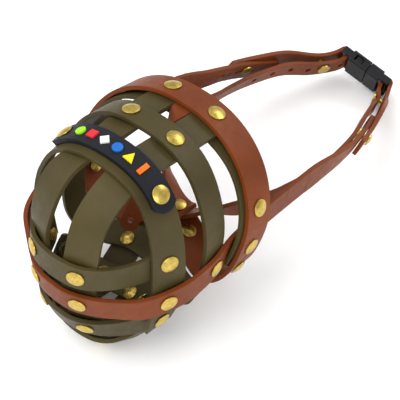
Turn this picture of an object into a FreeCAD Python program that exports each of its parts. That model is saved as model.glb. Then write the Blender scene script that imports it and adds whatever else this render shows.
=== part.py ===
"""Strap basket muzzle for a large dog, with a throat strap, neck straps and a side-release buckle.

Everything is drawn with the top straps level: X across the muzzle, -Y towards the nose, +Z up, and
the origin in the middle of the snout opening. put() then pitches every piece nose-up, which is how
the muzzle lies on a table, on its chin strap and its neck straps.
"""
import FreeCAD, Part
import math
import os

V = FreeCAD.Vector

# ---- driving dimensions, millimetres ----
WIDE = 19.0             # rear ring, lengthwise straps, front hoop
MEDIUM = 16.0           # middle hoop, nose bands, chin band
NARROW = 13.0           # throat, neck and forehead straps
THICK = 2.5             # coated webbing
BEND_ROOM = 1.0         # extra room under the nose bands, which bend over the flat lengthwise straps
HOOP_ROOM = 0.4         # extra room where a hoop curves away over a lengthwise strap
LAYER_GAP = 0.8         # air between crossing layers, bridged by the rivet
TOP_X = 16.0            # half the spacing of the two lengthwise straps on top
FLOOR_X = 12.5          # half their spacing on the floor
CAP_R = 5.0             # rivet cap
CAP_H = 1.7
INNER_CAP_H = 1.4
CHIN_ROOM = {-1: 4.6, 1: 2.0}   # extra depth of the chin band's rivets, where the straps under it bend
CHIN_SIDE_ROOM = {-1: 0.3, 1: 6.4}
RIM_AIR = 0.1               # a cap's rim stands this far off the curved strap
INNER_CAP_R = 4.3
NEARLY_SQUARE = 0.88        # cosine of the largest angle between a rivet and a strap that it holds
RIVET_REACH = 30.0          # a strap's line further than this from a rivet isn't under it
RIM_STEPS = 12               # places round a cap's rim at which its height is found
STEM_R = 1.5
ADJUST_HOLE_R = 2.0
HOLE_PITCH = 15.0           # adjusting holes in the neck straps
PITCH_DEG = 15.0        # nose-up angle at which the muzzle lies on a table
SWING_AT = V(0, 58.5, -1)   # the neck loop swings about X here, where its four straps bend
SWING_UP_DEG = 30.0
SWING_DOWN_DEG = 20.0
SWING_GAP = 0.8
END_R = 0.56                # radius of a rounded strap end, as a share of the width
STATION = 7.0           # spacing of the strap cross-sections

# ---- outer-face centre lines, as (x, y, z) ----
# the rear ring, left half, from top centre to the throat
RING_HALF = [(0, 0, 56.5), (16, 0, 55), (32, -0.5, 49.5), (46, -1.5, 39.5), (56.5, -3, 25), (62, -5, 8),
             (61.8, -7, -8), (58.5, -8.5, -22), (51, -9, -33), (40, -6, -40.5), (28, 0, -43.5),
             (18, 5, -42), (9, 8.8, -38.5), (0, 10.5, -37)]
MIDDLE_HALF = [(0, -34, 54), (16, -34, 52.8), (32, -33.4, 45.5), (41, -33, 36.5), (48, -32.5, 25),
               (52.2, -31.5, 13), (54, -30.5, 0), (54, -29.5, -14), (52.6, -28.5, -28),
               (48.5, -27, -40), (38, -23, -48.5), (25, -18.5, -49.5), (12.5, -15.5, -46.5), (0, -15, -45.5)]
FRONT_HALF = [(0, -68, 50), (16, -67.5, 48), (27, -66.8, 43), (35.5, -66, 35), (42, -64.8, 23.5),
              (46.5, -63.2, 10.5), (49, -61.3, -5), (49.6, -59, -21), (48.3, -56.8, -37), (45.5, -55, -50)]
UPPER_NOSE_HALF = [(0, -101, -11), (8, -100.3, -11), (16, -97.9, -11), (24, -92.3, -10.5), (32, -84, -8.5),
                   (38.2, -75, -5.5), (42.6, -66.5, -1.8), (45, -59.5, 1.2), (45.8, -52, 4)]
CHEEK_HALF = [(0, -95.5, -34), (8, -95, -34), (16, -92.6, -33.6), (25, -87.6, -33), (35, -81, -31),
              (46.2, -73.1, -27), (52.8, -61.6, -23), (56.4, -49, -19.5), (57.6, -37, -15.2), (57.2, -27, -11.5),
              (55.7, -18.5, -8), (55.3, -8, -4.5), (55.3, 4, -1), (55, 20, 2.2), (55, 36, 5), (55.2, 60, 8.5),
              (53, 80, 8.2), (50.2, 100, 7.2), (46.6, 118, 4.5), (42.1, 134, 1), (37.2, 148, -2)]
LOWER_NOSE_HALF = [(0, -85.6, -58.5), (8, -84.9, -58.5), (16, -82, -58), (24, -76.4, -57), (32, -69, -54.5),
                   (38.6, -62, -50.5), (42.3, -56.5, -46.5), (44, -50, -43)]
# right end, middle and left end of the chin band: its two ends sit at different heights
CHIN = [(-41, -37, -54), (-38.5, -46, -60), (-33, -54, -69), (-26, -60, -75.5), (-16, -63.5, -79.5),
        (0, -65.5, -80.5), (16, -64.5, -78.5), (26, -61, -74), (33.5, -54.5, -66), (38.2, -46, -57.5),
        (41.5, -36, -49)]
FLOOR_CROSS = [(-36.2, -44, -49), (-35.4, -43, -57), (-31.5, -40.5, -63.5), (-23, -37.5, -65.5),
               (-12.5, -35.5, -64.5), (0, -35, -62), (12.5, -35.5, -59), (23, -37.5, -56.5),
               (31.5, -40.5, -52.5), (35.8, -43, -46.5), (36.8, -44, -39)]
# profile of the left lengthwise strap where nothing crosses it
TOP_TO_NOSE = [(16, -85, 36), (16, -92.5, 26.5), (16, -95.8, 14), (16, -96, 3)]
FLOOR_TURN = (14.3, -51, -73)
THROAT_RIVET_X = 11.0
# how far the right throat strap lies above the left one, at the first points of THROAT_HALF
THROAT_LIFT = [7.6, 4.4, 2.6, 1.4, 0.5]
# how far the liner lies inside the ring's outer face, at the points of RING_HALF
LINER_DEPTH = [6.9, 6.9, 5.4, 3.6, 2.9, 2.9, 2.9, 2.9]
LINER_THICK = 2.0
LINER_FORWARD = 3.0
LINER_END = (55.2, -8.8, -28.5)
PLATE_THICK = 3.0
PLATE_W = 14.0
PLATE_BACK = 2.3            # the plate sits this far behind the front hoop's middle
PLATE_GAP = 0.3
PLATE_RIVET_X = 33.0
PLATE_END_X = 37.5
PIP_PITCH = 9.0
PIP_H = 1.0
PLATE_TOP = (-66, 53)
STUD_Y = 118.0
STUD_HEAD_R = 4.0
STUD_STEM_R = 2.0
TAIL_HOLE_PITCH = 6.8
TAIL_HOLE_R = 1.6
NUT_H = 1.1
NUT_AIR = 0.2
HEAD_RISE = 0.25            # a stud's head stands this far off the curved strap
TAIL_STUD_ROW = 4           # the tail's stud sits at this point of NECK_RETURN
END_HOLE = 10.5             # from the stud by the buckle to the last hole
FRONT_ROLL = {-1: 0.08, 1: 0.05}    # the front hoop's top hangs lower on the right, as a slope
NECK_LEAN_DEG = {-1: 26.0, 1: 14.0} # the neck loop has slumped: its top edges lean to the left
LEAN_FROM_Y = 62.0
LEAN_FULL_Y = 92.0
LAYER_Z = {-1: 5.0, 1: -2.0}        # height at which the lean leaves the tail and return layer in place
NOSE_SIDE_FROM = -82.0      # the nose bands stand upright from here back
NOSE_SIDE_BLEND = 25.0
# throat and neck strap, outer face of its inner layer, from the throat to just before the buckle
THROAT_HALF = [(-7, 9, -33.4), (0, 11, -32.5), (10, 14.2, -28.8), (20, 19, -23), (28, 24.5, -18.5),
               (35, 33, -14.5), (41, 44, -11.5), (44.5, 57, -9), (46, 73, -7.5), (45.5, 90, -5.5),
               (43.6, 110, -2.8), (39.5, 130, -0.5), (33.3, 150, 1), (26.6, 168, 0.8), (21.9, 180, 0)]
# the same strap's outer layer, coming back from the buckle
NECK_RETURN = [(26.9, 180, 2.6), (31.2, 170, 4.6), (40, 150, 6.8), (46.7, 130, 7.8), (50.2, 118, 7.8),
               (52.8, 106, 8)]
FOREHEAD = [(0, 5, 53.3), (0, -6, 53.3), (-0.5, -13.5, 52), (-1.5, -18, 46.5), (-3, -19, 36), (-4.5, -18, 22),
            (-6.5, -16, 5), (-8.5, -18.5, -11), (-10, -23, -26), (-10.8, -26, -33.5)]
FOREHEAD_HINTS = [(1, 0, 0), (1, 0, 0), (0.9, -0.3, 0), (0.62, -0.78, 0), (0.53, -0.85, 0), (0.6, -0.8, 0), (0.95, -0.3, 0),
                  (0.9, 0.4, 0), (0.85, 0.5, 0), (0.85, 0.5, 0)]
FOREHEAD_W = 11.0
THROAT_HINTS = [(-0.1, -1, -0.1), (0, -1, -0.1), (0, -1, 0.2), (0, -0.9, 0.65), (0, -0.6, 1), (0, -0.3, 1),
                (0, -0.1, 1), (0, 0, 1), (0, 0, 1), (0, 0, 1), (0, 0, 1), (0, 0, 1), (0, 0, 1), (0, 0, 1),
                (0, 0, 1)]

# ---- buckle, drawn about its own centre: X along the buckle, Y through it, Z across the strap ----
BUCKLE_AT = V(0, 196, -1)
BUCKLE_TILT_DEG = 14.0      # the right end lies higher
BUCKLE_LEAN_DEG = 30.0      # the upper edge leans towards the nose
TILT_FROM_Y = 150.0
BUCKLE_W = 20.0
BUCKLE_T = 9.0
BODY_END = 12.3             # where each half's body stops and its rails begin
RAIL_L = 7.3
RAIL_T = 5.0
RAIL_W = 2.8
BAR_X = 17.5
BAR_R = 1.6
BAR_PLAY = 0.15
WRAP_DEG = [190, 160, 130, 100, 70, 40, 10]     # where the strap is drawn round the bar, seen from above
SOCKET_END = 2.0
PLUG_FACE = 2.6
CAVITY_W = 15.0
CAVITY_T = 4.4
WINDOW = (-9.4, -3.0)       # side windows that the prongs' heads stand in
PRONG_AT = (4.8, 5.2)       # x and z of the upper prong's hinge
PRONG_R = 1.7
PRONG_MOUTH = 4.2
PRONG_OUTLINE = [(4.8, 6.2), (4.8, 4.2), (-9.6, 4.2), (-9.6, 5.6), (-8.2, 9.2), (-3.6, 9.2), (-3.6, 6.2)]
BUCKLE_PLACE = FreeCAD.Placement(BUCKLE_AT, FreeCAD.Rotation(V(1, 0, 0), BUCKLE_LEAN_DEG)
                                 * FreeCAD.Rotation(V(0, 1, 0), BUCKLE_TILT_DEG))


def mirrored(points):
    return [(-x, y, z) for x, y, z in points]


def whole(half):
    """A symmetric line from its left half, drawn from the right end over the middle to the left end."""
    return mirrored(half)[:0:-1] + half


def interpolated(points, closed=False, at=None):
    curve = Part.BSplineCurve()
    if at:
        curve.interpolate(Points=points, PeriodicFlag=closed, Parameters=at)
    else:
        curve.interpolate(Points=points, PeriodicFlag=closed)
    return curve


class Line:
    """A strap's outer-face centre line, with a width direction between given hints."""

    def __init__(self, points, hints, closed=False):
        vectors = [V(*p) for p in points]
        hints = list(hints)
        self.closed = closed
        self.curve = interpolated(vectors, closed)
        self.knots = [self.curve.parameter(v) for v in vectors]
        self.first = self.curve.FirstParameter
        self.last = self.curve.LastParameter
        if closed:
            self.knots[0] = self.first
            self.knots.append(self.last)
            hints = hints + hints[:1] if len(hints) > 1 else hints
        self.hints = [V(*h) for h in (hints if len(hints) > 1 else hints * len(self.knots))]

    def hint(self, u):
        for i in range(len(self.knots) - 1):
            if u <= self.knots[i + 1] or i == len(self.knots) - 2:
                share = (u - self.knots[i]) / (self.knots[i + 1] - self.knots[i])
                share = min(max(share, 0.0), 1.0)
                return self.hints[i] * (1 - share) + self.hints[i + 1] * share

    def frame(self, u):
        """Point, tangent, width direction and outward normal at a parameter."""
        point = self.curve.value(u)
        tangent = V(*self.curve.tangent(u)[0]).normalize()
        normal = tangent.cross(self.hint(u)).normalize()
        width = normal.cross(tangent).normalize()
        return point, tangent, width, normal

    def near(self, x, y, z):
        """Frame at the line's nearest point."""
        return self.frame(self.curve.parameter(V(x, y, z)))

    def stations(self):
        us = []
        for start, end in zip(self.knots, self.knots[1:]):
            steps = max(1, round(self.curve.length(start, end) / STATION))
            us += [start + (end - start) * i / steps for i in range(steps)]
        return us if self.closed else us + [self.last]

    def along(self, u, distance):
        """Parameter at a distance along the line from another parameter."""
        return self.curve.parameterAtDistance(distance, u)


def solid_of(faces):
    shell = Part.Shell(faces)
    shell.sewShape()
    solid = Part.Solid(shell)
    if solid.Volume < 0:
        solid.reverse()
    return solid


def strap(line, width, thick=THICK):
    """Flat webbing of even thickness, its outer face on the line."""
    rails = [[], [], [], []]
    places = line.stations()
    for u in places:
        point, _, across, normal = line.frame(u)
        for rail, (side, depth) in zip(rails, ((-0.5, thick), (0.5, thick), (0.5, 0), (-0.5, 0))):
            rail.append(point + across * (side * width) - normal * depth)
    if line.closed:
        places = places + [line.last]
    edges = [interpolated(rail, line.closed, places).toShape() for rail in rails]
    faces = [Part.makeRuledSurface(edges[i], edges[(i + 1) % 4], 1) for i in range(4)]
    if not line.closed:
        for end in (0, -1):
            corners = [rail[end] for rail in rails]
            faces.append(Part.Face(Part.makePolygon(corners + corners[:1])))
    return solid_of(faces)


def drum(centre, axis, radius, low, high):
    """Cylinder from low to high along an axis."""
    return Part.makeCylinder(radius, high - low, centre + axis * low, axis)


def oriented_box(centre, ax, ay, az, sizes, shift=(0, 0, 0)):
    """Box with its centre at a shifted place in a local frame."""
    box = Part.makeBox(*sizes)
    box.translate(V(-sizes[0] / 2 + shift[0], -sizes[1] / 2 + shift[1], -sizes[2] / 2 + shift[2]))
    matrix = FreeCAD.Matrix(ax.x, ay.x, az.x, centre.x, ax.y, ay.y, az.y, centre.y,
                            ax.z, ay.z, az.z, centre.z, 0, 0, 0, 1)
    box.Placement = FreeCAD.Placement(matrix).multiply(box.Placement)
    return box


def rounded_end(piece, line, width, at_start):
    """Turns a strap's square end into a round one."""
    u = line.first if at_start else line.last
    point, tangent, across, normal = line.frame(u)
    inward = tangent if at_start else tangent * -1
    radius = width * END_R
    centre = point + inward * radius
    box = oriented_box(centre, inward, across, inward.cross(across), (2 * radius, width * 2, width),
                       (-radius, 0, 0))
    return piece.cut(box.cut(drum(centre, normal, radius, -width, width)))


def cap(centre, axis, radius, height):
    """Domed rivet cap: a shallow spherical crown on a low rim."""
    crown = height * 0.65
    rim = height - crown
    ball_r = (radius * radius + crown * crown) / (2 * crown)
    half = radius / 2
    shoulder = V(half, 0, height - ball_r + math.sqrt(ball_r * ball_r - half * half))
    edges = [Part.LineSegment(V(0, 0, 0), V(radius, 0, 0)), Part.LineSegment(V(radius, 0, 0), V(radius, 0, rim)),
             Part.Arc(V(radius, 0, rim), shoulder, V(0, 0, height)), Part.LineSegment(V(0, 0, height), V(0, 0, 0))]
    profile = Part.Face(Part.Wire([edge.toShape() for edge in edges]))
    crown_solid = profile.revolve(V(0, 0, 0), V(0, 0, 1), 360)
    crown_solid.Placement = FreeCAD.Placement(centre, FreeCAD.Rotation(V(0, 0, 1), axis))
    return crown_solid


def depth_at(spot, axis, line, below):
    """How far down an axis from a spot a strap's face lies; the face is this far below its outer face."""
    depth = 0
    for _ in range(4):
        near = spot - axis * depth
        point, _, _, normal = line.near(near.x, near.y, near.z)
        if abs(axis.dot(normal)) < NEARLY_SQUARE or near.distanceToPoint(point) > RIVET_REACH:
            return None
        depth = (spot - point + normal * below).dot(normal) / axis.dot(normal)
    return depth


def rim_depths(point, axis, radius, line, below):
    """The same at the rim of a disc about the axis, where the strap faces along it."""
    across = axis.cross(V(0.3, 0.5, 0.81)).normalize()
    along = axis.cross(across)
    depths = []
    for step in range(RIM_STEPS):
        angle = 2 * math.pi * step / RIM_STEPS
        spot = point + (across * math.cos(angle) + along * math.sin(angle)) * radius
        depth = depth_at(spot, axis, line, below)
        if depth is not None:
            depths.append(depth)
    return depths


class Rivets:
    """Collects the rivets by group, and cuts each one's body out of the straps that it holds."""

    def __init__(self):
        self.heads = {}
        self.inner = {}
        self.bodies = []

    def add(self, group, line, place, inmost, below=THICK, outmost=(), room=0):
        """One rivet, square to a strap's outer face, through to the far face of the inmost strap."""
        point, _, _, normal = line.near(*place)
        rise = 0
        for other in (line,) + tuple(outmost):
            rise = max(rise, -min(rim_depths(point, normal, CAP_R, other, 0)))
        depth = max(rim_depths(point, normal, INNER_CAP_R, inmost, below)) + room
        top = point + normal * (rise + RIM_AIR)
        bottom = point - normal * (depth + RIM_AIR)
        reach = (top - bottom).Length
        outer = cap(top, normal, CAP_R, CAP_H).fuse(drum(bottom, normal, STEM_R, 0, reach + CAP_H / 2))
        self.heads.setdefault(group, []).append(outer.removeSplitter())
        self.inner.setdefault(group, []).append(cap(bottom, normal * -1, INNER_CAP_R, INNER_CAP_H))
        self.bodies.append(drum(bottom, normal, STEM_R, -1, reach + 1))

    def cut_from(self, piece):
        box = piece.BoundBox
        for body in self.bodies:
            if box.intersect(body.BoundBox):
                piece = piece.cut(body)
        return piece


def put(name, shape):
    """Pitches a finished piece into its lying pose and writes it."""
    shape = shape.copy()
    shape.rotate(V(0, 0, 0), V(1, 0, 0), -PITCH_DEG)
    shape.exportStep("parts/%s.step" % name)
    print("%-28s solids %d volume %8.0f valid %s" % (name, len(shape.Solids), shape.Volume, shape.isValid()))


def offset(frame, distance):
    point, _, _, normal = frame
    return point + normal * distance


def sided(points, hints, side, closed=False):
    """A line given for the left side; on the right it is mirrored and keeps its outward normal."""
    if side > 0:
        return Line(points, hints, closed)
    return Line(mirrored(points), [(x, -y, -z) for x, y, z in hints], closed)


def leaning(half, lean, side_lean):
    """Width directions of a nose band: leaning back round the nose, near upright along the sides."""
    hints = []
    for x, y, z in half:
        share = min(max((y - NOSE_SIDE_FROM) / NOSE_SIDE_BLEND, 0.0), 1.0)
        hints.append((side_lean[0] * share, lean * (1 - share) + side_lean[1] * share, 1))
    return mirrored(hints)[:0:-1] + hints


def nose_line(half, lean, side_lean):
    return Line(whole(half), leaning(half, lean, side_lean))


def smooth(share):
    share = min(max(share, 0.0), 1.0)
    return share * share * (3 - 2 * share)


def lean_share(y):
    return smooth((y - LEAN_FROM_Y) / (LEAN_FULL_Y - LEAN_FROM_Y))


def lean_slope(side):
    return math.tan(math.radians(NECK_LEAN_DEG[side]))


def slumped(side, point, share):
    """Moves a left-hand point of the tail or return layer with the neck loop's lean."""
    x, y, z = point
    return (x + side * lean_slope(side) * (z - LAYER_Z[side]) * share, y, z)


def cheek_line():
    """The cheek strap, whose tails lean with the neck loop."""
    right = mirrored([slumped(-1, p, lean_share(p[1])) for p in CHEEK_HALF])[:0:-1]
    left = [slumped(1, p, lean_share(p[1])) for p in CHEEK_HALF]
    hints = leaning(CHEEK_HALF, -0.34, (0.03, -0.1))
    points = right + left
    for i, (x, y, _) in enumerate(points):
        lean = lean_slope(-1 if x < 0 else 1) * lean_share(y)
        hints[i] = (hints[i][0] + lean, hints[i][1] * (1 - lean_share(y)), 1)
    return Line(points, hints)


def front_line():
    """The front hoop, its top part rolled a little about Y."""
    points = []
    for x, y, z in whole(FRONT_HALF):
        slope = FRONT_ROLL[-1 if x < 0 else 1]
        points.append((x, y, z + slope * x * smooth(z / FRONT_HALF[0][2] * 2)))
    hints = tapered(FRONT_HALF, 0.29, 0.5, 0)
    return Line(points, mirrored(hints)[:0:-1] + hints)


def tapered(half, top, side, bottom):
    """Width directions of a hoop's left half: its slope in Z at the top, in X at the side, in Z below."""
    hints = []
    for i, (x, _, z) in enumerate(half):
        level = z / max(half[0][2], 1) if z > 0 else -z / half[-1][2]
        rise = top * max(level, 0) + bottom * max(-level, 0)
        hints.append((side * (1 - abs(level)), 1, rise))
    return hints


def loop_line(half, hints):
    """A closed hoop, drawn from the top centre down the left side and up the right."""
    return Line(half + mirrored(half)[-2:0:-1], hints + mirrored(hints)[-2:0:-1], closed=True)


ring = loop_line(RING_HALF, tapered(RING_HALF, 0, 0, 0.2))
middle = loop_line(MIDDLE_HALF, tapered(MIDDLE_HALF, 0.08, -0.06, 0.5))
front = front_line()
upper_nose = nose_line(UPPER_NOSE_HALF, -0.17, (-0.1, -0.13))
cheek = cheek_line()
lower_nose = nose_line(LOWER_NOSE_HALF, -0.63, (0.2, -0.14))
chin = Line(CHIN, [(-0.25, -0.1, 1), (-0.3, -0.3, 1), (-0.4, -0.9, 1), (-0.3, -1.6, 1), (-0.15, -2, 1),
                   (0, -2.2, 1), (0.15, -2, 1), (0.3, -1.6, 1), (0.4, -0.9, 1), (0.3, -0.3, 1),
                   (0.25, -0.1, 1)])
floor_cross = Line(FLOOR_CROSS, [(0, -1, 0.2), (0, -1, 0), (0, -1, -0.3), (0, -1, -0.5), (0, -1, -0.5),
                                 (0, -1, -0.6), (0, -1, -0.7), (0, -1, -0.6), (0, -1, -0.3), (0, -1, 0),
                                 (0, -1, 0.2)])


def lengthwise(side):
    """One strap from the snout opening over the nose, round the chin and back along the floor."""
    under = THICK + LAYER_GAP
    rows = []

    def cross(band, place, distance, sense=1):
        frame = band.near(side * place[0], place[1], place[2])
        rows.append((offset(frame, distance), frame[1] * sense))

    cross(ring, (TOP_X, 0, 55), -under)
    rows.insert(0, (rows[0][0] + V(0, WIDE / 2, 0), rows[0][1]))
    cross(middle, (TOP_X, -34, 53), -under - HOOP_ROOM)
    cross(front, (TOP_X, -67.5, 48), -under - HOOP_ROOM)
    rows += [(V(side * x, y, z), None) for x, y, z in TOP_TO_NOSE]
    cross(upper_nose, (TOP_X, -97.9, -11), -under - BEND_ROOM - HOOP_ROOM)
    cross(cheek, (TOP_X, -92.6, -33.6), -under - BEND_ROOM)
    cross(lower_nose, (TOP_X, -82, -58), -under - BEND_ROOM)
    cross(chin, (TOP_X, -64, -79), -under - BEND_ROOM)
    rows.append((V(side * FLOOR_TURN[0], FLOOR_TURN[1], FLOOR_TURN[2]), None))
    cross(floor_cross, (FLOOR_X, -35.5, -62), under + 2 * HOOP_ROOM)
    cross(middle, (FLOOR_X, -15.5, -46.5), under + HOOP_ROOM, -1)
    cross(ring, (THROAT_RIVET_X, 8.5, -39), under + HOOP_ROOM, -1)
    run_on = (rows[-1][0] - rows[-2][0]).normalize() * (WIDE / 2 - 1)
    rows.append((rows[-1][0] + run_on, rows[-1][1]))
    known = [i for i, row in enumerate(rows) if row[1] is not None]
    hints = []
    for i, (_, hint) in enumerate(rows):
        if hint is None:
            before = max(k for k in known if k < i)
            after = min(k for k in known if k > i)
            share = (i - before) / (after - before)
            hint = rows[before][1] * (1 - share) + rows[after][1] * share
        hints.append(tuple(hint))
    return Line([tuple(row[0]) for row in rows], hints)



def liner_line():
    half = []
    for place, depth in zip(RING_HALF + [LINER_END], LINER_DEPTH + LINER_DEPTH[-1:]):
        if place[2] > LINER_END[2] or place == LINER_END:
            half.append(tuple(offset(ring.near(*place), -depth) - V(0, LINER_FORWARD, 0)))
    return Line(whole(half), [(0, 1, 0)])


def plate_line():
    """The name plate's outer face, on the front hoop's outer face and towards its rear edge."""
    points = []
    hints = []
    for x in [-PLATE_END_X] + [PLATE_RIVET_X * step / 4 for step in range(-4, 5)] + [PLATE_END_X]:
        frame = front.near(x, -67, 50 - x * x * 0.013)
        points.append(tuple(offset(frame, PLATE_GAP + PLATE_THICK) + frame[2] * PLATE_BACK))
        hints.append(tuple(frame[2]))
    return Line(points, hints)


def pip(line, place, outline):
    """A plain raised pip: a prism standing on the plate, its outline in (along, across) millimetres."""
    point, tangent, across, normal = line.frame(line.along(line.curve.parameter(V(0, *PLATE_TOP)), place))
    base = point - normal * 0.4
    if len(outline) == 1:
        return drum(base, normal, outline[0], 0, PIP_H + 0.4)
    corners = [base + tangent * a + across * c for a, c in outline]
    face = Part.Face(Part.makePolygon(corners + corners[:1]))
    return face.extrude(normal * (PIP_H + 0.4))


def buckle_share(y):
    return smooth((y - TILT_FROM_Y) / (BUCKLE_AT.y - TILT_FROM_Y))


def turned(side, point):
    """Moves a left-hand point of a neck strap with the buckle's turn, more the closer it is to it."""
    x, y, z = point
    rotation = BUCKLE_PLACE.Rotation
    moved = BUCKLE_AT + rotation.multVec(V(side * x, y - BUCKLE_AT.y, 0)) + V(0, 0, z - BUCKLE_AT.z)
    share = buckle_share(y)
    return (x, y * (1 - share) + moved.y * share, z * (1 - share) + moved.z * share)


def neck_strap(side):
    """Throat and neck strap as one strip: from the throat to the buckle's bar, round it and back."""
    rows = list(THROAT_HALF)
    if side < 0:
        for i, lift in enumerate(THROAT_LIFT):
            rows[i] = (rows[i][0], rows[i][1], rows[i][2] + lift)
    rows = [turned(side, p) for p in rows]
    local_z = BUCKLE_PLACE.Rotation.multVec(V(0, 0, 1))
    upright = V(side * local_z.x, local_z.y, local_z.z)

    def width_at(y, hint):
        share = buckle_share(y)
        plain = V(*hint) + V(side * lean_slope(side) * lean_share(y), 0, 0)
        return tuple(plain.normalize() * (1 - share) + upright * share)

    lateral_hints = [width_at(p[1], hint) for p, hint in zip(THROAT_HALF, THROAT_HINTS)]
    lateral = Line(rows, lateral_hints)
    inner = [tuple(offset(lateral.frame(k), -THICK)) for k in lateral.knots]
    reach = BAR_R + BAR_PLAY + THICK
    turn = []
    for angle in WRAP_DEG:
        a = math.radians(angle)
        place = BUCKLE_PLACE.multVec(V(side * (BAR_X + reach * math.cos(a)), reach * math.sin(a), 0))
        turn.append((side * place.x, place.y, place.z))
    back = []
    for place in NECK_RETURN:
        share = lean_share(place[1]) * (1 - buckle_share(place[1]))
        back.append(turned(side, slumped(side, place, share)))
    hints = lateral_hints + [tuple(upright)] * len(turn)
    hints += [width_at(place[1], (0, 0, 1)) for place in NECK_RETURN]
    hints = [tuple(V(*h) * -1) for h in hints]
    return sided(inner + turn + back, hints, side), len(inner), len(inner) + len(turn)


def swing_wedge():
    """The space in which the straps bend: closed at the axis, and open by the swing above and below it."""
    up = (THICK + 20) * math.tan(math.radians(SWING_UP_DEG / 2 + 1))
    down = 20 * math.tan(math.radians(SWING_DOWN_DEG / 2 + 1))
    half = SWING_GAP / 2
    section = [(-half, 0), (-half - up, 22.5), (half + up, 22.5), (half, 0), (half + down, -20), (-half - down, -20)]
    corners = [SWING_AT + V(-100, y, z) for y, z in section]
    return Part.Face(Part.makePolygon(corners + corners[:1])).extrude(V(200, 0, 0))


def parted(piece, wedge):
    """The pieces of a strap before and behind the swing axis."""
    solids = sorted(piece.cut(wedge).Solids, key=lambda part: part.CenterOfMass.y)
    return solids


def holed(piece, line, places, radius=ADJUST_HOLE_R):
    for u in places:
        point, _, _, normal = line.frame(u)
        piece = piece.cut(drum(point, normal, radius, -THICK - 1, 1))
    return piece


class Flat:
    """One fixed face in place of a strap's line, for straps that come back beside themselves."""

    def __init__(self, frame):
        self.frame = frame

    def near(self, x, y, z):
        return self.frame


def stud_and_nut(frame, inmost, below):
    """A screw stud from a strap's outer face to another strap's far face, its nut, and its bore."""
    point, _, _, normal = frame
    rise = HEAD_RISE
    depth = max(rim_depths(point, normal, INNER_CAP_R, inmost, below)) + NUT_AIR
    head = cap(point + normal * (rise + RIM_AIR), normal, STUD_HEAD_R, CAP_H)
    stem = drum(point, normal, STUD_STEM_R, -depth, rise + RIM_AIR + CAP_H / 2)
    nut = drum(point, normal, INNER_CAP_R, -depth - NUT_H, -depth)
    return head.fuse(stem).removeSplitter(), nut, drum(point, normal, STUD_STEM_R, -depth, 2)


def joined(pieces):
    return Part.makeCompound(pieces)


# ---- the buckle, in its own frame ----
def buckle_end(sign):
    """Two rails and the round bar that a neck strap turns round; sign is the end's side in X."""
    rails = [Part.makeBox(RAIL_L, RAIL_T, RAIL_W) for _ in range(2)]
    for rail, low in zip(rails, (BUCKLE_W / 2 - RAIL_W, -BUCKLE_W / 2)):
        rail.translate(V(-RAIL_L / 2 + sign * (BODY_END + RAIL_L / 2 - 0.5), -RAIL_T / 2, low))
    bar = drum(V(sign * BAR_X, 0, 0), V(0, 0, 1), BAR_R, -BUCKLE_W / 2 + 1, BUCKLE_W / 2 - 1)
    return rails[0].fuse(rails[1]).fuse(bar)


def block(x0, x1, thick, width):
    box = Part.makeBox(x1 - x0, thick, width)
    box.translate(V(x0, -thick / 2, -width / 2))
    return box


def softened(box, radius):
    edges = [e for e in box.Edges if abs(e.Vertexes[0].X - e.Vertexes[1].X) > 1]
    return box.makeFillet(radius, edges)


def socket():
    body = softened(block(-BODY_END, SOCKET_END, BUCKLE_T, BUCKLE_W), 1.5)
    body = body.cut(block(-BODY_END + 2, SOCKET_END + 1, CAVITY_T, CAVITY_W))
    body = body.cut(block(WINDOW[0], WINDOW[1], CAVITY_T, BUCKLE_W + 2))
    return body.fuse(buckle_end(-1)).removeSplitter()


def plug():
    body = softened(block(PLUG_FACE, BODY_END, BUCKLE_T, BUCKLE_W), 1.5)
    guide = block(-8, PLUG_FACE + 1, CAVITY_T - 0.6, 2.2)
    body = body.fuse(guide)
    for sense in (1, -1):
        pocket = drum(V(PRONG_AT[0], 0, sense * PRONG_AT[1]), V(0, 1, 0), PRONG_R + 0.3,
                      -CAVITY_T / 2, CAVITY_T / 2)
        throat = Part.makeBox(PRONG_AT[0], CAVITY_T, PRONG_MOUTH)
        throat.translate(V(0, -CAVITY_T / 2, sense * PRONG_AT[1] - PRONG_MOUTH / 2))
        throat = throat.cut(guide)
        body = body.cut(pocket).cut(throat)
    return body.fuse(buckle_end(1)).removeSplitter()


def prong(sense):
    """Sprung arm of the plug; its head stands in the socket's side window and is the button."""
    thick = CAVITY_T - 0.6
    corners = [V(x, -thick / 2, z) for x, z in PRONG_OUTLINE]
    arm = Part.Face(Part.makePolygon(corners + corners[:1])).extrude(V(0, thick, 0))
    arm = arm.fuse(drum(V(PRONG_AT[0], 0, PRONG_AT[1]), V(0, 1, 0), PRONG_R, -thick / 2, thick / 2))
    arm = arm.removeSplitter()
    return arm if sense > 0 else arm.mirror(V(0, 0, 0), V(0, 0, 1))


def buckled(shape):
    shape = shape.copy()
    shape.Placement = BUCKLE_PLACE.multiply(shape.Placement)
    return shape


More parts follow.
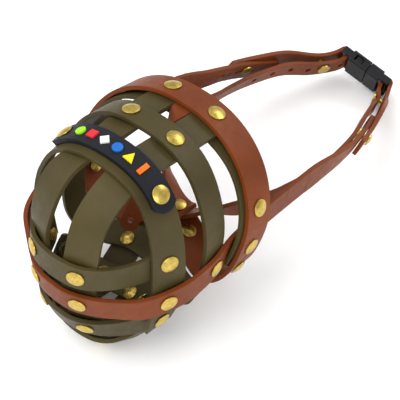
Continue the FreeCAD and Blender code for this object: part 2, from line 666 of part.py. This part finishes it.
os.makedirs("parts", exist_ok=True)
rivets = Rivets()
forehead = Line(FOREHEAD, FOREHEAD_HINTS)
liner = liner_line()
plate = plate_line()
lengths = {-1: lengthwise(-1), 1: lengthwise(1)}
necks = {-1: neck_strap(-1), 1: neck_strap(1)}
for side in (-1, 1):
    own = lengths[side]
    rivets.add("ring_rivets", ring, (side * TOP_X, 0, 55), liner, LINER_THICK)
    rivets.add("ring_rivets", ring, (side * 59.5, -4, 19), liner, LINER_THICK)
    rivets.add("ring_rivets", ring, (side * 62, -7, -5.5), cheek)
    rivets.add("ring_rivets", ring, (side * 58, -8.6, -22.5), liner, LINER_THICK)
    rivets.add("hoop_rivets", middle, (side * TOP_X, -34, 53), own)
    rivets.add("hoop_rivets", cheek, (side * 57.9, -29.5, -12.5), middle)
    rivets.add("hoop_rivets", cheek, (side * 51.5, -61, -23), front)
    rivets.add("plate_rivets", plate, (side * PLATE_RIVET_X, -66, 40), front)
    rivets.add("nose_rivets", upper_nose, (side * TOP_X, -97.9, -11), own)
    rivets.add("nose_rivets", cheek, (side * TOP_X, -92.6, -33.6), own)
    rivets.add("nose_rivets", lower_nose, (side * TOP_X, -82, -58), own)
    rivets.add("side_rivets", front, (side * 48.3, -61.8, 2.5), upper_nose)
    rivets.add("side_rivets", front, (side * 46.8, -56, -43.6), lower_nose)
    rivets.add("chin_rivets", chin, (side * TOP_X, -64, -79), own, room=CHIN_ROOM[side])
    rivets.add("chin_rivets", chin, (side * 38.6, -46.5, -57), floor_cross, room=CHIN_SIDE_ROOM[side])
    rivets.add("floor_rivets", own, (side * FLOOR_X, -35.5, -65), floor_cross)
    rivets.add("floor_rivets", own, (side * FLOOR_X, -15.5, -50), middle)
    rivets.add("throat_rivets", own, (side * THROAT_RIVET_X, 8.5, -42), ring)
rivets.add("throat_rivets", ring, (0, 10.5, -37), necks[-1][0], 0, (lengths[-1], lengths[1]))

wedge = swing_wedge()
cheek_front, tails = None, {}
for part in parted(strap(cheek, MEDIUM), wedge):
    if part.CenterOfMass.y < SWING_AT.y - 5:
        cheek_front = part
    else:
        tails[-1 if part.CenterOfMass.x < 0 else 1] = part
neck = {}
for side, (line, _, _) in necks.items():
    neck[side] = parted(strap(line, NARROW), wedge)

root = {"rear_ring": strap(ring, WIDE), "ring_liner": strap(liner, WIDE, LINER_THICK),
        "middle_hoop": strap(middle, MEDIUM), "front_hoop": strap(front, WIDE),
        "right_lengthwise_strap": strap(lengths[-1], WIDE), "left_lengthwise_strap": strap(lengths[1], WIDE),
        "upper_nose_band": strap(upper_nose, MEDIUM), "cheek_strap": cheek_front,
        "lower_nose_band": strap(lower_nose, MEDIUM), "chin_band": strap(chin, MEDIUM),
        "floor_cross_strap": strap(floor_cross, MEDIUM), "name_plate": strap(plate, PLATE_W, PLATE_THICK),
        "right_throat_strap": neck[-1][0], "left_throat_strap": neck[1][0],
        "forehead_strap": strap(forehead, FOREHEAD_W)}
for name, line, width in (("ring_liner", liner, WIDE), ("name_plate", plate, PLATE_W),
                          ("upper_nose_band", upper_nose, MEDIUM), ("lower_nose_band", lower_nose, MEDIUM),
                          ("chin_band", chin, MEDIUM)):
    for at_start in (True, False):
        root[name] = rounded_end(root[name], line, width, at_start)
root["forehead_strap"] = rounded_end(root["forehead_strap"], forehead, FOREHEAD_W, False)
tip_holes = [forehead.along(forehead.last, -d) for d in (7, 20, 33)]
root["forehead_strap"] = holed(root["forehead_strap"], forehead, tip_holes)
for name in root:
    root[name] = rivets.cut_from(root[name])

# pips on the plate: plain shapes, each its own colour
SQUARE = [(-2.6, -2.6), (2.6, -2.6), (2.6, 2.6), (-2.6, 2.6)]
DIAMOND = [(-3.4, 0), (0, -3.4), (3.4, 0), (0, 3.4)]
TRIANGLE = [(-3.2, -2.7), (3.2, -2.7), (0, 3.2)]
BAR = [(-1.4, -3.6), (1.4, -3.6), (1.4, 3.6), (-1.4, 3.6)]
for name, step, outline in (("pip_green", -2.5, [3.0]), ("pip_red", -1.5, SQUARE), ("pip_white", -0.5, DIAMOND),
                            ("pip_blue", 0.5, [3.0]), ("pip_yellow", 1.5, TRIANGLE), ("pip_orange", 2.5, BAR)):
    shape = pip(plate, step * PIP_PITCH, outline)
    root["name_plate"] = root["name_plate"].cut(shape)
    root[name] = shape
for group, heads in rivets.heads.items():
    root[group] = joined(heads)
    root[group + "_inner_caps"] = joined(rivets.inner[group])

loop = {}
for side, word in ((-1, "right"), (1, "left")):
    line, bend_start, back_start = necks[side]
    strip = neck[side][1]
    tail = rounded_end(tails[side], cheek, MEDIUM, side < 0)
    keeper = line.frame(line.knots[back_start])
    tail_stud = line.frame(line.knots[back_start + TAIL_STUD_ROW])
    studs = []
    nuts = []
    opposite = Flat(line.frame(line.knots[bend_start - 1]))
    for frame, inmost, below in ((keeper, opposite, 0), (tail_stud, cheek, THICK)):
        stud, nut, bore = stud_and_nut(frame, inmost, below)
        strip = strip.cut(bore)
        tail = tail.cut(bore)
        studs.append(stud)
        nuts.append(nut)
    last_inner = line.knots[bend_start - 1]
    places = [line.along(last_inner, -HOLE_PITCH * k) for k in range(1, 5)] + [line.along(last_inner, END_HOLE)]
    strip = holed(strip, line, places)
    at_stud = cheek.curve.parameter(tail_stud[0])
    places = [cheek.along(at_stud, side * TAIL_HOLE_PITCH * k) for k in (-3, -2, -1, 1)]
    tail = holed(tail, cheek, places, TAIL_HOLE_R)
    loop[word + "_neck_strap"] = strip
    loop[word + "_cheek_tail"] = tail
    loop[word + "_strap_studs"] = joined(studs)
    loop[word + "_stud_nuts"] = joined(nuts)
loop["buckle_socket"] = buckled(socket())
loop["buckle_plug"] = buckled(plug())
loop["upper_prong"] = buckled(prong(1))
loop["lower_prong"] = buckled(prong(-1))

for name, shape in list(root.items()) + list(loop.items()):
    put(name, shape)
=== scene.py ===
"""Looks of the strap basket muzzle: coated webbing, brass rivets, rubber plate and plastic buckle."""
import bpy
import bmesh
import math
from mathutils import Matrix, Vector


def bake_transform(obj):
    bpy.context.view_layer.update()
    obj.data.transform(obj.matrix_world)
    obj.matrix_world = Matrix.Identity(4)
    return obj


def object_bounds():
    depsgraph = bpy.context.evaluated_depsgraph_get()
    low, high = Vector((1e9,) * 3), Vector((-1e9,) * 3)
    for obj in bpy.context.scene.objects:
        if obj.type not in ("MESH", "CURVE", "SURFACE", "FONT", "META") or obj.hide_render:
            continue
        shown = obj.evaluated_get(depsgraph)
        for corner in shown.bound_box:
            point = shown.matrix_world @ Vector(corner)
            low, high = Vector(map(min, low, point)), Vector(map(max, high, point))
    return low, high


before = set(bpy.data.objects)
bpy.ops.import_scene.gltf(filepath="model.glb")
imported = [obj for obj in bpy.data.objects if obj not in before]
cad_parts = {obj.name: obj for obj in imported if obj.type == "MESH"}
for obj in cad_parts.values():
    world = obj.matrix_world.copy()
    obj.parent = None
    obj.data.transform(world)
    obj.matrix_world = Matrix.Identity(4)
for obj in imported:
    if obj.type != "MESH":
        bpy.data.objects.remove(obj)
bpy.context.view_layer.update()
scene = bpy.context.scene
MM = 0.001

# Straps are drawn in a frame with the top straps level; the part lies with its nose pitched up.
PITCH = Matrix.Rotation(math.radians(-15), 3, "X")


def placed(point):
    """A point in level millimetres, in the part's frame in metres."""
    return PITCH @ Vector(point) * MM


# ---- materials ----
class Nodes:
    """Short names for building a material's nodes."""

    def __init__(self, name):
        self.material = bpy.data.materials.new(name)
        self.material.use_nodes = True
        self.tree = self.material.node_tree
        self.shader = self.tree.nodes["Principled BSDF"]
        self.coords = self.add("ShaderNodeTexCoord").outputs["Object"]

    def add(self, kind, **inputs):
        node = self.tree.nodes.new(kind)
        for key, value in inputs.items():
            socket = node.inputs[key.replace("_", " ")]
            if isinstance(value, bpy.types.NodeSocket):
                self.tree.links.new(value, socket)
            else:
                socket.default_value = value
        return node

    def link(self, output, socket):
        self.tree.links.new(output, self.shader.inputs[socket])

    def noise(self, scale, detail=3.0, roughness=0.55):
        node = self.add("ShaderNodeTexNoise", Vector=self.coords, Scale=scale, Detail=detail,
                        Roughness=roughness)
        return node.outputs["Fac"]

    def ramp(self, value, low, high, out_low=0.0, out_high=1.0):
        node = self.add("ShaderNodeMapRange", Value=value, From_Min=low, From_Max=high,
                        To_Min=out_low, To_Max=out_high)
        return node.outputs["Result"]

    def math(self, operation, a, b=0.0):
        node = self.tree.nodes.new("ShaderNodeMath")
        node.operation = operation
        for socket, value in zip(node.inputs, (a, b)):
            if isinstance(value, bpy.types.NodeSocket):
                self.tree.links.new(value, socket)
            else:
                socket.default_value = value
        return node.outputs[0]

    def mix(self, share, a, b):
        node = self.tree.nodes.new("ShaderNodeMix")
        node.data_type = "RGBA"
        for socket, value in ((node.inputs[0], share), (node.inputs[6], a), (node.inputs[7], b)):
            if isinstance(value, bpy.types.NodeSocket):
                self.tree.links.new(value, socket)
            else:
                socket.default_value = value
        return node.outputs[2]

    def edge(self, radius, low=0.02, high=0.25):
        """Nearly 1 along sharp edges, 0 on flat faces."""
        bevel = self.add("ShaderNodeBevel", Radius=radius)
        bevel.samples = 4
        normal = self.add("ShaderNodeNewGeometry").outputs["Normal"]
        dot = self.tree.nodes.new("ShaderNodeVectorMath")
        dot.operation = "DOT_PRODUCT"
        self.tree.links.new(bevel.outputs[0], dot.inputs[0])
        self.tree.links.new(normal, dot.inputs[1])
        bend = self.math("SUBTRACT", 1.0, dot.outputs["Value"])
        return self.ramp(bend, low, high), bevel.outputs[0]

    def bump(self, height, strength, distance, normal=None):
        inputs = dict(Height=height, Strength=strength, Distance=distance)
        if normal is not None:
            inputs["Normal"] = normal
        return self.add("ShaderNodeBump", **inputs).outputs["Normal"]


def webbing(name, lit, deep, edge_wear_and_highlight_colour):
    """Coated webbing: a satin skin with a faint weave showing through, softer and paler at its edges, partly wear
    and partly a painted edge highlight.
    """
    n = Nodes(name)
    patches = n.noise(28.0, 4.0)
    fine = n.noise(900.0, 2.0)
    weave = n.tree.nodes.new("ShaderNodeTexVoronoi")
    n.tree.links.new(n.coords, weave.inputs["Vector"])
    weave.inputs["Scale"].default_value = 1100.0
    base = n.mix(n.ramp(patches, 0.3, 0.72), deep, lit)
    edge, soft = n.edge(0.0007)
    # the edges are lightened towards the edge colour: partly wear, partly a painted edge highlight
    wear_and_edge_highlight = n.math("MULTIPLY", edge, n.ramp(n.noise(160.0), 0.35, 0.7, 0.15, 0.75))
    n.link(n.mix(wear_and_edge_highlight, base, edge_wear_and_highlight_colour), "Base Color")
    rough = n.ramp(n.noise(240.0, 4.0), 0.3, 0.7, 0.4, 0.56)
    n.link(n.math("ADD", rough, n.math("MULTIPLY", wear_and_edge_highlight, 0.12)), "Roughness")
    grain = n.bump(weave.outputs["Distance"], 0.22, 0.00012, soft)
    n.link(n.bump(fine, 0.25, 0.00008, grain), "Normal")
    n.shader.inputs["Specular IOR Level"].default_value = 0.18
    return n.material


def brass(name, bright, dull):
    """Brass with a lightly brushed dome, small dents and duller rims."""
    n = Nodes(name)
    n.shader.inputs["Metallic"].default_value = 1.0
    blotch = n.noise(420.0, 4.0)
    edge, soft = n.edge(0.0004)
    base = n.mix(n.ramp(blotch, 0.35, 0.7), bright, dull)
    n.link(n.mix(n.math("MULTIPLY", edge, 0.6), base, dull), "Base Color")
    n.link(n.ramp(n.noise(700.0, 5.0), 0.3, 0.7, 0.24, 0.42), "Roughness")
    dents = n.bump(n.noise(520.0, 2.0), 0.3, 0.00012, soft)
    n.link(n.bump(n.noise(3500.0, 2.0), 0.25, 0.00003, dents), "Normal")
    return n.material


def moulded(name, colour, pale_wear_and_highlight_colour, roughness, grain_scale=1600.0, grain=0.3):
    """Moulded rubber or plastic with a fine grain, rounded edges, and slight wear and a painted highlight on
    them: the edges are paler.
    """
    n = Nodes(name)
    edge, soft = n.edge(0.0005)
    patches = n.ramp(n.noise(60.0, 3.0), 0.3, 0.7, 0.0, 0.35)
    base = n.mix(patches, colour, pale_wear_and_highlight_colour)
    # the edges are lightened towards the paler second colour: partly wear, partly a painted edge highlight
    wear_and_edge_highlight = n.math("MULTIPLY", edge, n.ramp(n.noise(220.0), 0.4, 0.7, 0.1, 0.7))
    n.link(n.mix(wear_and_edge_highlight, base, pale_wear_and_highlight_colour), "Base Color")
    n.link(n.ramp(n.noise(300.0, 4.0), 0.3, 0.7, roughness - 0.07, roughness + 0.08), "Roughness")
    n.shader.inputs["Specular IOR Level"].default_value = 0.2
    n.link(n.bump(n.noise(grain_scale, 2.0), grain, 0.00006, soft), "Normal")
    return n.material


# olive, brown, rubber and plastic: each last colour is the paler one their edges are lightened towards, partly
# wear and partly a painted edge highlight
OLIVE = webbing("olive_webbing_skin", (0.066, 0.05, 0.015, 1), (0.042, 0.032, 0.01, 1), (0.1, 0.078, 0.028, 1))
BROWN = webbing("brown_webbing_skin", (0.185, 0.038, 0.005, 1), (0.125, 0.026, 0.004, 1), (0.27, 0.068, 0.011, 1))
BRASS = brass("brass_dome", (0.6, 0.44, 0.1, 1), (0.42, 0.3, 0.07, 1))
RUBBER = moulded("black_rubber_skin", (0.005, 0.006, 0.009, 1), (0.013, 0.015, 0.021, 1), 0.5)
PLASTIC = moulded("black_plastic_skin", (0.006, 0.006, 0.007, 1), (0.022, 0.022, 0.025, 1), 0.4)
# each pip: its colour, then a paler one for random patches, wear and a painted edge highlight
PIPS = {
    "green": ((0.28, 0.62, 0.012, 1), (0.4, 0.75, 0.05, 1)),
    "red": ((0.6, 0.012, 0.022, 1), (0.75, 0.05, 0.06, 1)),
    "white": ((0.7, 0.7, 0.68, 1), (0.85, 0.85, 0.84, 1)),
    "blue": ((0.01, 0.105, 0.42, 1), (0.03, 0.2, 0.6, 1)),
    "yellow": ((0.82, 0.55, 0.008, 1), (0.95, 0.7, 0.05, 1)),
    "orange": ((0.85, 0.13, 0.006, 1), (0.95, 0.25, 0.04, 1)),
}
BROWN_NODES = ("rear_ring", "cheek", "throat_strap", "forehead", "neck_strap")


def material_for(node):
    if node.startswith("pip_"):
        return moulded(node + "_skin", *PIPS[node[4:]], 0.42)
    if "rivet" in node or "stud" in node:
        return BRASS
    if node == "name_plate":
        return RUBBER
    if node.startswith("buckle") or node.endswith("prong"):
        return PLASTIC
    if any(word in node for word in BROWN_NODES):
        return BROWN
    return OLIVE


for node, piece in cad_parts.items():
    piece.data.materials.clear()
    piece.data.materials.append(material_for(node))

# ---- short sleeves over the four straps, where they bend as the neck loop swings ----
# the straps' faces on each side of the swing line, as (point, outward normal), level millimetres
BENDS = {
    "left_cheek_bend": (16, [((55.17, 51, 7.58), (1, 0, -0.03)), ((55.2, 58.5, 8.4), (1, 0, -0.03)),
                             ((55.14, 66, 8.65), (1, 0.02, -0.08))]),
    "right_cheek_bend": (16, [((-55.49, 51, 7.58), (-1, 0, -0.03)), ((-55.31, 58.5, 8.4), (-1, 0.07, -0.02)),
                              ((-54.48, 66, 8.65), (-0.99, 0.15, 0.08))]),
    "left_throat_bend": (13, [((40.67, 51, -10.12), (-0.97, 0.25, 0.01)),
                              ((42.21, 58.5, -8.85), (-0.99, 0.16, 0.01)),
                              ((43.12, 66, -8.02), (-1, 0.08, 0.04))]),
    "right_throat_bend": (13, [((-40.67, 51, -10.09), (0.97, 0.25, 0.01)),
                               ((-42.21, 58.5, -8.86), (0.99, 0.16, -0.01)),
                               ((-43.12, 66, -8.23), (0.99, 0.09, -0.08))]),
}
PROUD = 0.06            # the bending sleeves stand this far proud of the straps that they join, mm
STRAP_T = 2.5


def bend_piece(name, width, rows):
    """A short length of strap over the swing line, a hair thicker than the straps that it joins."""
    mesh = bpy.data.meshes.new(name)
    bm = bmesh.new()
    rings = []
    for i, (point, normal) in enumerate(rows):
        before = Vector(rows[max(i - 1, 0)][0])
        after = Vector(rows[min(i + 1, len(rows) - 1)][0])
        point, normal, tangent = Vector(point), Vector(normal), after - before
        across = tangent.cross(normal).normalized()
        ring = []
        for reach, depth in ((-0.5, PROUD), (0.5, PROUD), (0.5, -STRAP_T - PROUD), (-0.5, -STRAP_T - PROUD)):
            corner = point + across * (reach * (width + 2 * PROUD)) + normal.normalized() * depth
            ring.append(bm.verts.new(placed(corner)))
        rings.append(ring)
    for a, b in zip(rings, rings[1:]):
        for i in range(4):
            bm.faces.new((a[i], a[(i + 1) % 4], b[(i + 1) % 4], b[i]))
    bm.faces.new(rings[0])
    bm.faces.new(rings[-1][::-1])
    bmesh.ops.recalc_face_normals(bm, faces=bm.faces)
    long_edges = [e for e in bm.edges if e.calc_length() > 0]
    bmesh.ops.subdivide_edges(bm, edges=long_edges, cuts=3, use_grid_fill=True)
    bm.to_mesh(mesh)
    bm.free()
    piece = bpy.data.objects.new(name, mesh)
    scene.collection.objects.link(piece)
    mesh.materials.append(BROWN)
    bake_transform(piece)
    return piece


for name, (width, rows) in BENDS.items():
    bend_piece(name, width, rows)

# ---- floor, light, camera ----
low = Vector(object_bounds()[0]).z
floor = bpy.data.meshes.new("floor")
floor.from_pydata([(-4, -4, low), (4, -4, low), (4, 4, low), (-4, 4, low)], [], [(0, 1, 2, 3)])
floor_piece = bpy.data.objects.new("floor", floor)
scene.collection.objects.link(floor_piece)
plain = bpy.data.materials.new("pale_floor")
plain.use_nodes = True
plain.node_tree.nodes["Principled BSDF"].inputs["Base Color"].default_value = (0.92, 0.92, 0.92, 1)
plain.node_tree.nodes["Principled BSDF"].inputs["Roughness"].default_value = 0.9
floor.materials.append(plain)


def softbox(name, place, aim, size, watts):
    light = bpy.data.lights.new(name, "AREA")
    light.shape = "RECTANGLE"
    light.size, light.size_y = size
    light.energy = watts
    lamp = bpy.data.objects.new(name, light)
    lamp.location = place
    lamp.rotation_euler = (Vector(aim) - Vector(place)).to_track_quat("-Z", "Y").to_euler()
    scene.collection.objects.link(lamp)


CENTRE = (0, 0.02, -0.01)
softbox("key", (-0.5, -0.55, 1.1), CENTRE, (1.5, 1.5), 19)
softbox("fill", (1.1, -0.7, 0.7), CENTRE, (1.0, 0.8), 9)
softbox("back", (0.2, 1.1, 0.9), CENTRE, (1.0, 0.6), 7)
world = bpy.data.worlds.new("studio")
world.use_nodes = True
world.node_tree.nodes["Background"].inputs["Color"].default_value = (1, 1, 1, 1)
world.node_tree.nodes["Background"].inputs["Strength"].default_value = 0.7
scene.world = world
scene.view_settings.view_transform = "Standard"

# the camera's direction, roll and distance, in the level frame
AZIMUTH, ELEVATION, ROLL = math.radians(32.1), math.radians(37.82), math.radians(13.31)
DISTANCE = 732.9
ACROSS, UP = -12.95, 13.02      # the frame's middle, from the muzzle's origin, in the image plane
LENS = 114.7
towards = Vector((math.sin(AZIMUTH) * math.cos(ELEVATION), -math.cos(AZIMUTH) * math.cos(ELEVATION),
                  math.sin(ELEVATION)))
level_right = Vector((math.cos(AZIMUTH), math.sin(AZIMUTH), 0))
level_up = towards.cross(level_right)
right = level_right * math.cos(ROLL) + level_up * math.sin(ROLL)
up = level_up * math.cos(ROLL) - level_right * math.sin(ROLL)
place = placed(towards * DISTANCE - right * ACROSS - up * UP)
turn = Matrix((PITCH @ right, PITCH @ up, PITCH @ towards)).transposed()
lens = bpy.data.cameras.new("camera")
lens.sensor_width = 36
lens.lens = LENS
camera = bpy.data.objects.new("camera", lens)
camera.matrix_world = Matrix.Translation(place) @ turn.to_4x4()
scene.collection.objects.link(camera)
scene.camera = camera
